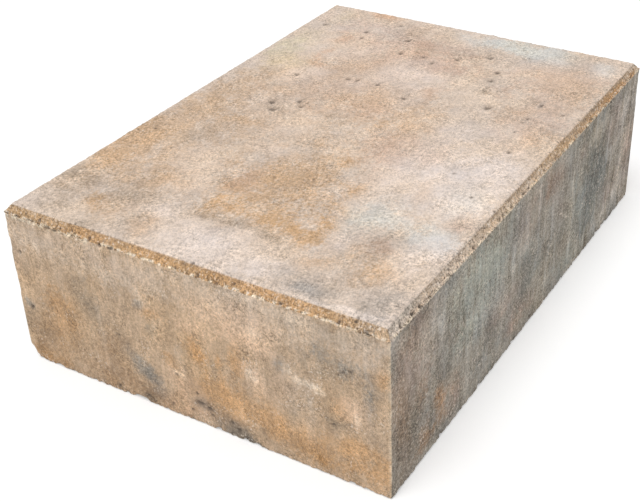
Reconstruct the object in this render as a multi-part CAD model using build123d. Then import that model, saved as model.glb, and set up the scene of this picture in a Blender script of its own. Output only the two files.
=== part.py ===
# Block step of pressed concrete, in millimetres.
# One solid block, laid as a stair step or as a low garden step. The tread is on top and the long
# riser faces -Y. All four top edges carry the bevel that the press plate leaves, with mitred
# corners. At the foot of the bevel a narrow flat ledge shows where the press plate ended inside
# the mould, and outside it the rim of the side faces is slightly crumbled.
# Origin: centre of the underside. +X runs along the length, +Y towards the back, +Z up.
from build123d import *
import os

# Overall size
block_length = 500.0
block_depth = 350.0
block_height = 150.0

# Vertical corners, rounded by the mould
mould_corner_radius = 2.0

# Bevel round the tread
bevel_run = 4.6
bevel_drop = 6.4
press_edge_radius = 1.2

# Ledge at the foot of the bevel, and the crumbled rim outside it
ledge_width = 0.9
rim_run = 0.6
rim_drop = 2.1

# Arris round the underside, worn from standing on the pallet
foot_break = 1.6

# Bottom corner at -X and +Y, knocked off: how far the break reaches up the
# vertical edge, along the end face and along the back face
broken_corner_rise = 15.0
broken_corner_along_end = 9.0
broken_corner_along_back = 8.0

shoulder_height = block_height - bevel_drop


def mould_outline(height, inset=0.0):
    """Face with the outline of the mould at a height, drawn in by an inset all round."""
    return Plane.XY.offset(height) * RectangleRounded(
        block_length - 2 * inset, block_depth - 2 * inset, mould_corner_radius
    )


def press_outline(height, inset):
    """Face with the sharp mitred outline of the press plate at a height."""
    return Plane.XY.offset(height) * Rectangle(
        block_length - 2 * inset, block_depth - 2 * inset
    )


def side_walls():
    """The upright part of the block, up to where the rim starts to crumble."""
    walls = extrude(mould_outline(0.0), shoulder_height - rim_drop)
    return chamfer(walls.edges().group_by(Axis.Z)[0], foot_break)


def crumbled_rim():
    """The short sloping band between the side faces and the ledge."""
    return loft([mould_outline(shoulder_height - rim_drop), mould_outline(shoulder_height, rim_run)])


def bevelled_top():
    """The pressed top: four sloping faces that meet in mitres, with softened edges."""
    bevel_foot_inset = rim_run + ledge_width
    top = loft(
        [
            press_outline(shoulder_height, bevel_foot_inset),
            press_outline(block_height, bevel_foot_inset + bevel_run),
        ],
        ruled=True,
    )
    foot_edges = top.edges().group_by(Axis.Z)[0]
    return fillet(top.edges() - foot_edges, press_edge_radius)


def broken_corner():
    """The wedge of concrete that is missing from one bottom corner."""
    corner = Vector(-block_length / 2, block_depth / 2, 0.0)
    up = corner + Vector(0, 0, broken_corner_rise)
    along_end = corner - Vector(0, broken_corner_along_end, 0)
    along_back = corner + Vector(broken_corner_along_back, 0, 0)
    break_plane = Plane(
        origin=(up + along_end + along_back) / 3,
        z_dir=(along_back - up).cross(along_end - up),
    )
    reach = broken_corner_rise + broken_corner_along_end + broken_corner_along_back
    return extrude(break_plane * Rectangle(2 * reach, 2 * reach), reach)


block_step = side_walls() + crumbled_rim() + bevelled_top() - broken_corner()
block_step.label = "block_step"

os.makedirs("parts", exist_ok=True)
export_step(block_step, "parts/block_step.step")
size = block_step.bounding_box().size
print("block_step", len(block_step.solids()), "solid", round(block_step.volume / 1e6, 3), "litres")
print("size", round(size.X, 3), round(size.Y, 3), round(size.Z, 3))
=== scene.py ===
import math
import time
import bmesh
import bpy
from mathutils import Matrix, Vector, noise


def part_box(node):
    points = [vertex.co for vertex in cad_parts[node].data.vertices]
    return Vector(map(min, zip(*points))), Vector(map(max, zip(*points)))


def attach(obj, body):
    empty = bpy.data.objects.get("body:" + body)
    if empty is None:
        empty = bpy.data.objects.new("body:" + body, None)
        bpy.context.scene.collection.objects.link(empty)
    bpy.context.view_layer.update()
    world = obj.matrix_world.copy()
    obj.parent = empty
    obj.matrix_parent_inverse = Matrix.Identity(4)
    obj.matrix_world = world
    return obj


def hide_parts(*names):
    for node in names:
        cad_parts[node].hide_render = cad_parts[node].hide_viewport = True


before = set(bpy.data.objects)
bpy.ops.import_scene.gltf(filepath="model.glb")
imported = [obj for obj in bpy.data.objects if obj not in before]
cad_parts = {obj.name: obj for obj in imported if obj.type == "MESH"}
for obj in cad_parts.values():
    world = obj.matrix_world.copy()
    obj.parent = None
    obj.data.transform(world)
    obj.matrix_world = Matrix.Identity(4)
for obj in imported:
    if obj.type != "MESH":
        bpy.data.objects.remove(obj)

started = time.time()
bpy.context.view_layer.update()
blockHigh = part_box("block_step")[1]
halfLength = blockHigh.x
halfDepth = blockHigh.y
height = blockHigh.z
scene = bpy.context.scene
scene.view_settings.view_transform = "Standard"

# Camera, light and floor

view = {
    "location": (-0.7779, -0.4741, 0.6070),  # camera, in metres
    "turn": (59.185, 0.818, -60.126),        # degrees
    "lens": 65.04,
    "shift": (-0.0859, -0.0656),
    "worldLight": 0.52,                      # what the surroundings give the block
    "sunStrength": 1.65,
    "sunTurn": (0.0, -24.0, 0.0),            # degrees
    "sunSoftness": 35.0,                     # how wide the lamp looks, in degrees
    "floorHalf": 4.0,
    "floorColour": (0.80, 0.80, 0.80, 1),
    "floorRoughness": 0.9,
    "floorLift": 0.30,                       # makes the floor paler to the eye and lights nothing
}


def addCamera():
    data = bpy.data.cameras.new("viewCamera")
    data.lens = view["lens"]
    data.shift_x, data.shift_y = view["shift"]
    camera = bpy.data.objects.new("viewCamera", data)
    camera.location = view["location"]
    camera.rotation_euler = [math.radians(angle) for angle in view["turn"]]
    scene.collection.objects.link(camera)
    scene.camera = camera


def addLight():
    data = bpy.data.lights.new("softKey", "SUN")
    data.energy = view["sunStrength"]
    data.angle = math.radians(view["sunSoftness"])
    sun = bpy.data.objects.new("softKey", data)
    sun.rotation_euler = [math.radians(angle) for angle in view["sunTurn"]]
    scene.collection.objects.link(sun)


def seenDirectly(nodes, links):
    # 1 for what the camera, a reflection or a pane looks at, 0 for light that only bounces
    path = nodes.new("ShaderNodeLightPath")
    first = nodes.new("ShaderNodeMath")
    first.operation = "MAXIMUM"
    second = nodes.new("ShaderNodeMath")
    second.operation = "MAXIMUM"
    links.new(path.outputs["Is Camera Ray"], first.inputs[0])
    links.new(path.outputs["Is Glossy Ray"], first.inputs[1])
    links.new(first.outputs[0], second.inputs[0])
    links.new(path.outputs["Is Transmission Ray"], second.inputs[1])
    return second.outputs[0]


def addWorld():
    world = bpy.data.worlds.new("studio")
    scene.world = world
    world.use_nodes = True
    nodes, links = world.node_tree.nodes, world.node_tree.links
    background = nodes["Background"]
    background.inputs["Color"].default_value = (1, 1, 1, 1)
    strength = nodes.new("ShaderNodeMapRange")
    strength.inputs["To Min"].default_value = view["worldLight"]
    strength.inputs["To Max"].default_value = 1.0
    links.new(seenDirectly(nodes, links), strength.inputs["Value"])
    links.new(strength.outputs["Result"], background.inputs["Strength"])


def addFloor():
    bm = bmesh.new()
    bmesh.ops.create_grid(bm, x_segments=1, y_segments=1, size=view["floorHalf"])
    mesh = bpy.data.meshes.new("paleFloor")
    bm.to_mesh(mesh)
    bm.free()
    floor = bpy.data.objects.new("paleFloor", mesh)
    scene.collection.objects.link(floor)
    material = bpy.data.materials.new("paleFloor")
    material.use_nodes = True
    nodes, links = material.node_tree.nodes, material.node_tree.links
    surface = nodes["Principled BSDF"]
    surface.inputs["Base Color"].default_value = view["floorColour"]
    surface.inputs["Roughness"].default_value = view["floorRoughness"]
    surface.inputs["Specular IOR Level"].default_value = 0.0
    surface.inputs["Emission Color"].default_value = (1, 1, 1, 1)
    lift = nodes.new("ShaderNodeMath")
    lift.operation = "MULTIPLY"
    lift.inputs[1].default_value = view["floorLift"]
    links.new(seenDirectly(nodes, links), lift.inputs[0])
    links.new(lift.outputs[0], surface.inputs["Emission Strength"])
    mesh.materials.append(material)


addCamera()
addLight()
addWorld()
addFloor()
print("camera, light and floor are up")

# The block's form, in metres

form = {
    "bevelRun": 0.0046,         # bevel round the tread
    "bevelDrop": 0.0064,
    "ledge": 0.0009,            # flat strip at the foot of the bevel
    "rimRun": 0.0006,           # slope between the ledge and the side faces
    "rimDrop": 0.0021,
    "mouldEdge": 0.0014,        # rounding of the upright arrises
    "footBreak": 0.0016,        # broken arris round the underside
    "footLean": 0.3,            # how far its upper half leans in, as a share of the break
    "brokenRise": 0.015,        # knocked-off bottom corner
    "brokenAlongEnd": 0.009,
    "brokenAlongBack": 0.008,
    "hair": 0.00001,            # points this near count as one
}

shoulder = height - form["bevelDrop"]
wallTop = shoulder - form["rimDrop"]
bevelFoot = form["rimRun"] + form["ledge"]
treadInset = bevelFoot + form["bevelRun"]

# Pits in millimetres: place along the face and up it (or across the tread), half width along,
# half width up, depth. The tread and the riser are measured from the near corner, the end face
# from its far corner, and the bevels upwards from their foot.
pits = {
    "riserBevel": [
        (18, 0.6, 1.3, 1.6, 1.4), (34, -0.2, 2.0, 1.4, 1.8), (45, -0.2, 2.0, 1.3, 1.6),
        (58, -0.4, 3.0, 0.9, 1.6), (129, -0.2, 2.2, 1.3, 1.7), (221, -0.4, 3.4, 1.1, 1.7),
        (231, -0.4, 2.6, 1.0, 1.6), (182, 0.2, 1.6, 1.2, 1.3), (290, 0.0, 2.2, 1.1, 1.5),
        (372, 0.0, 2.0, 1.1, 1.4),
    ],
    "endBevel": [
        (330, -0.4, 2.6, 1.3, 1.9), (309, 0.4, 1.8, 1.4, 1.3), (262, -0.2, 2.0, 1.2, 1.4),
        (88, 0.4, 1.8, 1.5, 2.0), (190, 0.0, 1.8, 1.3, 1.8), (170, -0.2, 1.4, 1.1, 1.4),
        (30, -0.8, 3.0, 1.0, 1.6), (14, -1.2, 2.2, 0.9, 1.5), (4, -1.0, 1.4, 1.2, 1.5),
    ],
    "tread": [
        (439, 324, 3.4, 2.2, 1.6), (424, 271, 2.8, 2.0, 1.4), (441, 275, 3.8, 2.6, 1.5),
        (317, 280, 3.2, 2.4, 1.6), (255, 267, 4.4, 3.6, 1.9), (243, 258, 3.6, 4.2, 1.7),
        (268, 245, 4.0, 2.2, 1.4), (259, 238, 2.6, 2.6, 1.2), (331, 231, 2.9, 2.3, 1.6),
        (334, 222, 2.9, 2.3, 1.6), (409, 217, 4.0, 2.3, 1.4), (441, 225, 4.0, 2.6, 1.3),
        (402, 178, 3.0, 2.8, 1.5), (421, 160, 3.0, 2.6, 1.6), (439, 133, 3.3, 2.8, 1.7),
        (391, 110, 3.4, 2.6, 1.8), (411, 112, 4.0, 3.2, 1.8), (337, 88, 4.6, 4.0, 2.2),
        (318, 164, 3.0, 2.6, 1.0), (363, 47, 2.8, 1.8, 1.3), (268, 36, 2.8, 2.0, 1.3),
        (333, 47, 2.6, 1.6, 1.0), (213, 60, 1.8, 1.4, 1.1), (471, 251, 2.4, 1.8, 1.0),
        (354, 22, 2.6, 1.6, 0.9), (411, 192, 2.4, 2.0, 0.9), (333, 200, 3.2, 1.8, 0.9),
        (162, 327, 1.6, 1.4, 0.8), (185, 31, 1.8, 1.3, 0.8), (304, 47, 1.8, 1.2, 0.8),
    ],
    "end": [
        (180, 21, 6.0, 3.2, 1.5), (189, 19, 4.0, 2.6, 1.4), (178, 30, 1.8, 1.5, 1.2),
        (160, 42, 1.6, 1.3, 1.0), (172, 12, 2.0, 1.5, 1.2), (191, 14, 2.0, 1.6, 1.2),
        (12, 55, 2.0, 2.6, 1.2), (80, 123, 1.4, 1.4, 0.9), (10, 108, 1.8, 2.0, 1.1),
        (105, 60, 1.5, 1.4, 0.9), (318, 105, 2.0, 1.8, 1.1), (312, 103, 1.4, 1.3, 0.9),
        (127, 8, 2.2, 1.8, 1.3), (97, 6, 1.8, 2.2, 1.2), (152, 10, 1.6, 1.6, 1.1),
        (216, 9, 3.0, 2.4, 1.3), (210, 14, 2.0, 1.6, 1.0), (224, 5, 2.0, 1.6, 1.1),
        (303, 52, 2.2, 1.4, 0.9),
    ],
    "riser": [
        (12, 31, 2.8, 2.0, 1.6), (9, 26, 1.8, 1.5, 1.2), (17, 28, 1.8, 1.4, 1.2), (92, 58, 2.0, 1.6, 1.1),
        (411, 91, 3.4, 1.8, 1.2), (50, 88, 1.6, 1.3, 0.9), (248, 5, 3.2, 2.4, 1.8),
        (74, 45, 1.5, 1.8, 0.9), (158, 97, 1.5, 1.2, 0.8), (410, 70, 1.6, 1.6, 0.9),
        (23, 60, 1.4, 1.6, 0.9), (305, 25, 1.6, 1.2, 0.8),
    ],
}


def onFace(zone, along, up):
    # the point that lies along and up a face by these millimetres
    if zone == "tread":
        return Vector((along / 1000 - halfLength, up / 1000 - halfDepth, height))
    if zone == "end":
        return Vector((-halfLength, halfDepth - along / 1000, up / 1000))
    return Vector((along / 1000 - halfLength, -halfDepth, up / 1000))


pitPlaces = [
    (onFace(zone, along, up), max(wide, tall) / 1000)
    for zone in ("tread", "end", "riser")
    for along, up, wide, tall, _ in pits[zone]
]


def sideGap(point):
    # how far a point lies inside the nearest of the four side planes
    return min(halfLength - abs(point.x), halfDepth - abs(point.y))


def cornerGap(point):
    # how far a point lies from the nearest upright arris
    return math.hypot(halfLength - abs(point.x), halfDepth - abs(point.y))


# How fine the mesh is: the length of its edges at each feature, how far that feature reaches,
# and how fast the edges grow away from it
meshing = {
    "gridPieces": (100, 70, 30),  # first cuts along X, Y and Z
    "plain": 0.0050,
    "shownFaces": 0.0032,
    "seam": 0.0007,
    "seamBelow": 0.0012,
    "seamHalfHeight": 0.0030,
    "seamWidth": 0.0025,
    "bevel": 0.0014,
    "bevelMargin": 0.0006,
    "foot": 0.0011,
    "footHeight": 0.0050,
    "footWidth": 0.0030,
    "uprights": 0.0020,
    "uprightReach": 0.003,
    "pits": 0.0011,
    "pitReach": 1.3,
    "sideSkin": 0.001,
    "treadSkin": 0.002,
    "growth": 0.36,
    "tooLong": 1.5,               # an edge is halved past this many times the wanted length
}


def meshSize(point):
    # the length that an edge should have at this point
    gap = sideGap(point)
    seamRise = abs(point.z - shoulder + meshing["seamBelow"])
    seamAway = max(0.0, seamRise - meshing["seamHalfHeight"]) + max(0.0, gap - meshing["seamWidth"])
    bevelAway = max(0.0, shoulder - point.z) + max(0.0, gap - treadInset - meshing["bevelMargin"])
    footAway = max(0.0, point.z - meshing["footHeight"]) + max(0.0, gap - meshing["footWidth"])
    uprightAway = max(0.0, cornerGap(point) - meshing["uprightReach"])
    onSide = gap < meshing["sideSkin"]
    onShownSide = onSide and min(point.x + halfLength, point.y + halfDepth) < meshing["sideSkin"]
    size = min(
        meshing["shownFaces"] if onShownSide else meshing["plain"],
        meshing["seam"] + meshing["growth"] * seamAway,
        meshing["bevel"] + meshing["growth"] * bevelAway,
        meshing["foot"] + meshing["growth"] * footAway,
        meshing["uprights"] + meshing["growth"] * uprightAway,
    )
    if size > meshing["pits"] and (onSide or point.z > height - meshing["treadSkin"]):
        for centre, halfWidth in pitPlaces:
            away = (point - centre).length - halfWidth * meshing["pitReach"]
            size = min(size, meshing["pits"] + meshing["growth"] * max(0.0, away))
    return size


def drawIn(bm, upward, run, rise):
    # draws the top or bottom face in by a run and pushes it out by a rise
    side = 1 if upward else -1
    face = max(bm.faces, key=lambda face: side * face.calc_center_median().z)
    bmesh.ops.inset_region(bm, faces=[face], thickness=run, depth=rise, use_even_offset=True)


def layGrid(bm):
    # cuts the long edges of each direction into equal pieces
    for axis, pieces in enumerate(meshing["gridPieces"]):
        along = [
            edge for edge in bm.edges
            if abs(edge.verts[0].co[axis] - edge.verts[1].co[axis]) > height / 2
        ]
        bmesh.ops.subdivide_edges(bm, edges=along, cuts=pieces - 1, use_grid_fill=True)


def roundUprights(bm):
    # the four arrises that the corners of the mould have rounded
    uprights = [
        edge for edge in bm.edges
        if all(cornerGap(vert.co) < form["hair"] for vert in edge.verts)
    ]
    bmesh.ops.bevel(
        bm, geom=uprights, offset=form["mouldEdge"], segments=2, profile=0.5,
        affect="EDGES", material=-1,
    )


def knockOffCorner(bm):
    # cuts off the missing bottom corner and closes the cut
    corner = Vector((-halfLength, halfDepth, 0))
    up = corner + Vector((0, 0, form["brokenRise"]))
    alongEnd = corner - Vector((0, form["brokenAlongEnd"], 0))
    alongBack = corner + Vector((form["brokenAlongBack"], 0, 0))
    outward = (alongBack - up).cross(alongEnd - up).normalized()
    cut = bmesh.ops.bisect_plane(
        bm, geom=bm.verts[:] + bm.edges[:] + bm.faces[:], dist=form["hair"],
        plane_co=up, plane_no=outward, clear_outer=True,
    )
    rim = [part for part in cut["geom_cut"] if isinstance(part, bmesh.types.BMEdge)]
    bmesh.ops.contextual_create(bm, geom=rim)


def refine(bm):
    # halves every edge that is too long for its place until none is left
    settled = bm.edges.layers.int.new("settled")
    while True:
        tooLong = []
        for edge in bm.edges:
            if edge[settled]:
                continue
            middle = (edge.verts[0].co + edge.verts[1].co) / 2
            if edge.calc_length() > meshing["tooLong"] * meshSize(middle):
                tooLong.append(edge)
            else:
                edge[settled] = 1
        if not tooLong:
            return
        bmesh.ops.subdivide_edges(
            bm, edges=tooLong, cuts=1, use_grid_fill=True, use_single_edge=True
        )
        manySided = [face for face in bm.faces if len(face.verts) > 4]
        bmesh.ops.triangulate(bm, faces=manySided)


def pressedBlock():
    # side walls first, then rim, ledge, bevel and tread upwards, and the broken foot downwards
    bm = bmesh.new()
    bmesh.ops.create_cube(bm, size=1.0)
    wallFoot = form["footBreak"]
    bmesh.ops.scale(
        bm, vec=(halfLength * 2, halfDepth * 2, wallTop - wallFoot), verts=bm.verts
    )
    bmesh.ops.translate(bm, vec=(0, 0, (wallTop + wallFoot) / 2), verts=bm.verts)
    drawIn(bm, True, form["rimRun"], form["rimDrop"])
    drawIn(bm, True, form["ledge"], 0.0)
    drawIn(bm, True, form["bevelRun"], form["bevelDrop"])
    for lean in (form["footLean"], 1 - form["footLean"]):
        drawIn(bm, False, form["footBreak"] * lean, form["footBreak"] * (1 - lean))
    layGrid(bm)
    roundUprights(bm)
    knockOffCorner(bm)
    refine(bm)
    bmesh.ops.triangulate(bm, faces=bm.faces)
    bmesh.ops.recalc_face_normals(bm, faces=bm.faces)
    return bm


bm = pressedBlock()
print("block shaped,", len(bm.faces), "triangles,", round(time.time() - started, 1), "s")

# Relief, in metres: nothing here reaches outside the block's true box. A noise of two sizes is
# given by its coarse scale, its fine scale and the share of the fine one, and chips by their scale
# and by how rare they are.


def ease(value):
    # soft step from 0 to 1
    value = min(1.0, max(0.0, value))
    return value * value * (3 - 2 * value)


def twoNoises(point, settings):
    # a coarse noise with a fine one on it
    coarseScale, fineScale, fineShare = settings
    return noise.noise(point * coarseScale) + fineShare * noise.noise(point * fineScale)


chipFade = 0.30  # how far past its rarity the noise has to rise for a full chip


def chipAt(point, scale, rarity, shift=(0, 0, 0)):
    # 0 over most of the surface, up to 1 in scattered spots
    return ease((noise.noise((point + Vector(shift)) * scale) - rarity) / chipFade)


seamRelief = {
    "void": 0.0026,
    "voidLean": 0.7,        # the voids run in and down by as much
    "voidScale": 210,
    "voidRarity": 0.34,
    "moreVoidsBehind": 0.12,
    "calmCorner": 0.010,
    "crumb": 0.0009,
    "crumbLevel": 0.5,
    "crumbSwing": 0.8,
    "crumbNoise": (520, 1100, 0.5),
    "inset": 0.0010,        # middle of the seam, from the side plane and below the shoulder
    "below": 0.0008,
    "lowerBehind": 0.0010,
    "reach": 0.0027,
    "widerBehind": 0.0010,
    "behindFrom": 0.03,     # where along Y it starts to widen
    "behindFade": 0.06,
}


def behind(point):
    # 0 along the front of the block, 1 towards its back, where the seam is wider
    return ease((point.y - seamRelief["behindFrom"]) / seamRelief["behindFade"])


faceRelief = {
    "wave": 0.00035,
    "waveScale": 14,
    "grain": 0.00010,
    "grainScale": 330,
    "ripple": 0.00018,
    "rippleScale": (160, 160, 14),
    "rippleSkin": 0.0005,   # how near a side plane the ripple needs a point to be
    "level": 0.0002,        # taken off again, so that the high spots lie in the true faces
}


def faceDepth(point, gap):
    # slow waves and grain, and on the sides the upright marks of the mould
    wave = noise.fractal(point * faceRelief["waveScale"], 1.0, 2.0, 3)
    depth = faceRelief["wave"] * (0.5 + 0.5 * wave)
    depth += faceRelief["grain"] * (1 + noise.noise(point * faceRelief["grainScale"]))
    if gap < faceRelief["rippleSkin"] and point.z < wallTop:
        stretched = Vector([part * scale for part, scale in zip(point, faceRelief["rippleScale"])])
        depth += faceRelief["ripple"] * (1 + noise.noise(stretched))
    return max(0.0, depth - faceRelief["level"])


pitRelief = {
    "search": 2.5,          # how many half widths away a pit still counts
    "wobble": 0.5,          # makes the outlines ragged
    "wobbleNoise": (420, 900, 0.8),
    "edge": 1.2,
    # shade, with some dirt, painted into the pit, and paler round it
    "shadeAndDirt": 0.75,
    "shadeAndDirtEdge": 1.15,
    "haloShadeAndDirt": 0.3,        # paler painted shade and dirt round the pit
    "haloEdge": 1.1,
    "haloReach": 2,
}


def pitDepth(zone, along, up, point):
    # how deep the pits are at this spot, and how much shade and dirt is painted in and round them
    deepest = 0.0
    mostShadeAndDirt = 0.0
    search = pitRelief["search"]
    for centreAlong, centreUp, wide, tall, down in pits.get(zone, ()):
        if abs(along - centreAlong) < wide * search and abs(up - centreUp) < tall * search:
            wobble = 1 + pitRelief["wobble"] * twoNoises(point, pitRelief["wobbleNoise"])
            reach = math.hypot((along - centreAlong) / wide, (up - centreUp) / tall) * wobble
            deepest = max(deepest, down / 1000 * ease(pitRelief["edge"] - reach))
            shadeAndDirt = pitRelief["shadeAndDirt"] * ease(pitRelief["shadeAndDirtEdge"] - reach)
            shadeAndDirt += pitRelief["haloShadeAndDirt"] * ease(pitRelief["haloEdge"] - reach / pitRelief["haloReach"])
            mostShadeAndDirt = max(mostShadeAndDirt, shadeAndDirt)
    return deepest, min(1.0, mostShadeAndDirt)


bevelRelief = {
    "grit": 0.00045,
    "gritLevel": 0.35,
    "gritNoise": (420, 900, 0.6),
    "pock": 0.0015,
    "pockChips": (330, 0.46),
    "pockShift": (3, 1, 2),
    "calmCorner": 0.02,     # the pocks fade out this near an upright arris
    "wander": 0.00030,      # of the upper arris
    "wanderLevel": 0.3,
    "wanderNoise": (120, 260, 0.5),
    "fadeBelow": 0.0012,
    "fadeOnTread": 0.0022,
    "margin": 0.0004,
}


def bevelWear(point, gap):
    # how deep the gritty bevel and its wandering upper arris are worn here, and how hollow the spot is,
    # which sets the shade painted into its pocks
    near = ease(1 - max(0.0, shoulder - point.z) / bevelRelief["fadeBelow"])
    onTread = max(0.0, gap - treadInset - bevelRelief["margin"])
    near *= ease(1 - onTread / bevelRelief["fadeOnTread"])
    if near == 0 or gap <= bevelFoot - bevelRelief["margin"]:
        return 0.0, 0.0
    grit = bevelRelief["gritLevel"] + twoNoises(point, bevelRelief["gritNoise"])
    pock = chipAt(point, *bevelRelief["pockChips"], bevelRelief["pockShift"])
    pock *= ease(cornerGap(point) / bevelRelief["calmCorner"])
    wander = bevelRelief["wanderLevel"] + twoNoises(point, bevelRelief["wanderNoise"])
    depth = bevelRelief["grit"] * grit + bevelRelief["pock"] * pock + bevelRelief["wander"] * wander
    return near * depth, near * pock


def seamWear(point, gap):
    # how deep the seam between the bevel and the rim is crumbled here, and how open its voids are, which
    # also sets the shade painted into them
    back = behind(point)
    drop = seamRelief["below"] + seamRelief["lowerBehind"] * back
    away = math.hypot(gap - seamRelief["inset"], point.z - shoulder + drop)
    near = ease(1 - away / (seamRelief["reach"] + seamRelief["widerBehind"] * back))
    if near == 0:
        return 0.0, 0.0
    rarity = seamRelief["voidRarity"] - seamRelief["moreVoidsBehind"] * back
    void = chipAt(point, seamRelief["voidScale"], rarity)
    void *= max(back, ease(cornerGap(point) / seamRelief["calmCorner"]))
    crumb = seamRelief["crumbSwing"] * twoNoises(point, seamRelief["crumbNoise"])
    return near * seamRelief["crumb"] * (seamRelief["crumbLevel"] + crumb), near * void


footRelief = {
    "crumb": 0.0011,
    "crumbLevel": 0.45,
    "crumbSwing": 0.8,
    "crumbNoise": (260, 620, 0.625),
    "chip": 0.0034,
    "smallChips": (120, 0.24),
    "smallShift": (5, 7, 0),
    "largeChips": (45, 0.26),
    "largeShift": (2, 9, 0),
    "largeShare": 0.8,
    # shade painted into the chips
    "chipShade": 0.2,
    "edge": 0.0008,
    "reach": 0.0045,
}


def footWear(point, gap):
    # how deep the foot is crumbled and chipped here, and how much shade is painted into its chips
    edge = footRelief["edge"]
    away = math.hypot(max(0.0, gap - edge), max(0.0, point.z - edge))
    near = ease(1 - away / footRelief["reach"])
    if near == 0:
        return 0.0, 0.0
    crumb = footRelief["crumbSwing"] * twoNoises(point, footRelief["crumbNoise"])
    crumb = max(0.0, footRelief["crumbLevel"] + crumb)
    smallChip = chipAt(point, *footRelief["smallChips"], footRelief["smallShift"])
    largeChip = chipAt(point, *footRelief["largeChips"], footRelief["largeShift"])
    chip = max(smallChip, footRelief["largeShare"] * largeChip)
    depth = footRelief["crumb"] * crumb + footRelief["chip"] * chip
    return near * depth, near * chip * footRelief["chipShade"]


uprightRelief = {
    "nick": 0.0007,
    "nickLevel": 0.25,
    "nickChips": (95, 0.12),
    "nickShift": (0, 0, 9),
    "reach": 0.0032,
}


def uprightWear(point):
    # how deep the nicks on the upright arrises are here
    near = ease(1 - cornerGap(point) / uprightRelief["reach"])
    if near == 0 or point.z >= wallTop:
        return 0.0
    nick = chipAt(point, *uprightRelief["nickChips"], uprightRelief["nickShift"])
    return near * uprightRelief["nick"] * (uprightRelief["nickLevel"] + nick)


brokenRelief = {
    "grit": 0.0009,
    "gritScale": 300,
    "core": 0.009,
    "fade": 0.010,
}


def brokenWear(point):
    # how rough the knocked-off corner is here
    away = (point - Vector((-halfLength, halfDepth, 0))).length
    near = ease(1 - (away - brokenRelief["core"]) / brokenRelief["fade"])
    if near == 0:
        return 0.0
    return near * brokenRelief["grit"] * (1 + noise.noise(point * brokenRelief["gritScale"]))


def inwardFrom(point):
    # direction from the nearest side face into the block
    if halfLength - abs(point.x) < halfDepth - abs(point.y):
        return Vector((-math.copysign(1, point.x), 0, 0))
    return Vector((0, -math.copysign(1, point.y), 0))


def carve(point, normal, zone, along, up):
    # returns the moved point and how hollow it is, from 0 to 1, which the material paints as shade and
    # dirt
    gap = sideGap(point)
    pitDown, pitShadeAndDirt = pitDepth(zone, along, up, point)
    bevelDown, bevelPockShade = bevelWear(point, gap)
    seamDown, seamVoidAndShade = seamWear(point, gap)
    footDown, footChipShade = footWear(point, gap)
    depth = faceDepth(point, gap) + pitDown + bevelDown + seamDown + footDown
    depth += uprightWear(point) + brokenWear(point)
    voidWay = (inwardFrom(point) + Vector((0, 0, -1))) * seamRelief["voidLean"]
    moved = point + voidWay * seamRelief["void"] * seamVoidAndShade - normal * depth
    moved.x = min(halfLength, max(-halfLength, moved.x))
    moved.y = min(halfDepth, max(-halfDepth, moved.y))
    moved.z = min(height, max(0.0, moved.z))
    return moved, max(pitShadeAndDirt, bevelPockShade, seamVoidAndShade, footChipShade)


# Colour: tints, and the stains on each face. On the tread, the riser, the near end and their bevels
# they sit where the real block has them. The far end and the back have others of the same kind.
# A stain is tint, place along and up (or across) in millimetres, half sizes, tilt in degrees,
# strength.

tints = {
    "treadGround": (0.696, 0.567, 0.466),
    "treadTan": (0.590, 0.425, 0.295),
    "treadOchre": (0.600, 0.380, 0.208),
    "treadOrange": (0.590, 0.385, 0.260),
    "treadGrey": (0.380, 0.320, 0.265),
    "treadBlue": (0.352, 0.338, 0.325),
    "treadPale": (0.808, 0.688, 0.610),
    "treadFrost": (0.665, 0.660, 0.625),
    "treadBrown": (0.490, 0.335, 0.250),
    "treadCream": (0.700, 0.595, 0.430),
    "treadPink": (0.705, 0.532, 0.432),
    "endGround": (0.560, 0.405, 0.272),
    "endPale": (0.650, 0.510, 0.385),
    "endOchre": (0.585, 0.360, 0.190),
    "endGrey": (0.400, 0.315, 0.230),
    "endBlue": (0.310, 0.285, 0.250),
    "endCream": (0.930, 0.745, 0.560),
    "endPeach": (0.760, 0.535, 0.365),
    "endDark": (0.210, 0.178, 0.142),
    "endPink": (0.580, 0.405, 0.275),
    "endBrown": (0.400, 0.250, 0.140),
    "endRust": (0.500, 0.275, 0.110),
    "riserGround": (0.384, 0.344, 0.290),
    "riserPink": (0.430, 0.318, 0.250),
    "riserGreen": (0.418, 0.418, 0.362),
    "riserDark": (0.235, 0.232, 0.205),
    "riserOrange": (0.420, 0.255, 0.145),
    "riserCream": (0.540, 0.505, 0.452),
    "riserBrown": (0.290, 0.205, 0.140),
    "bevelOchre": (0.520, 0.335, 0.180),
    "bevelOrange": (0.540, 0.290, 0.130),
    "bevelBeige": (0.590, 0.490, 0.400),
    "bevelPeach": (0.665, 0.495, 0.350),
    "bevelBrown": (0.375, 0.280, 0.200),
    "bevelGrey": (0.430, 0.395, 0.345),
    "rimCream": (0.760, 0.630, 0.470),
    "under": (0.430, 0.375, 0.310),
}

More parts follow.
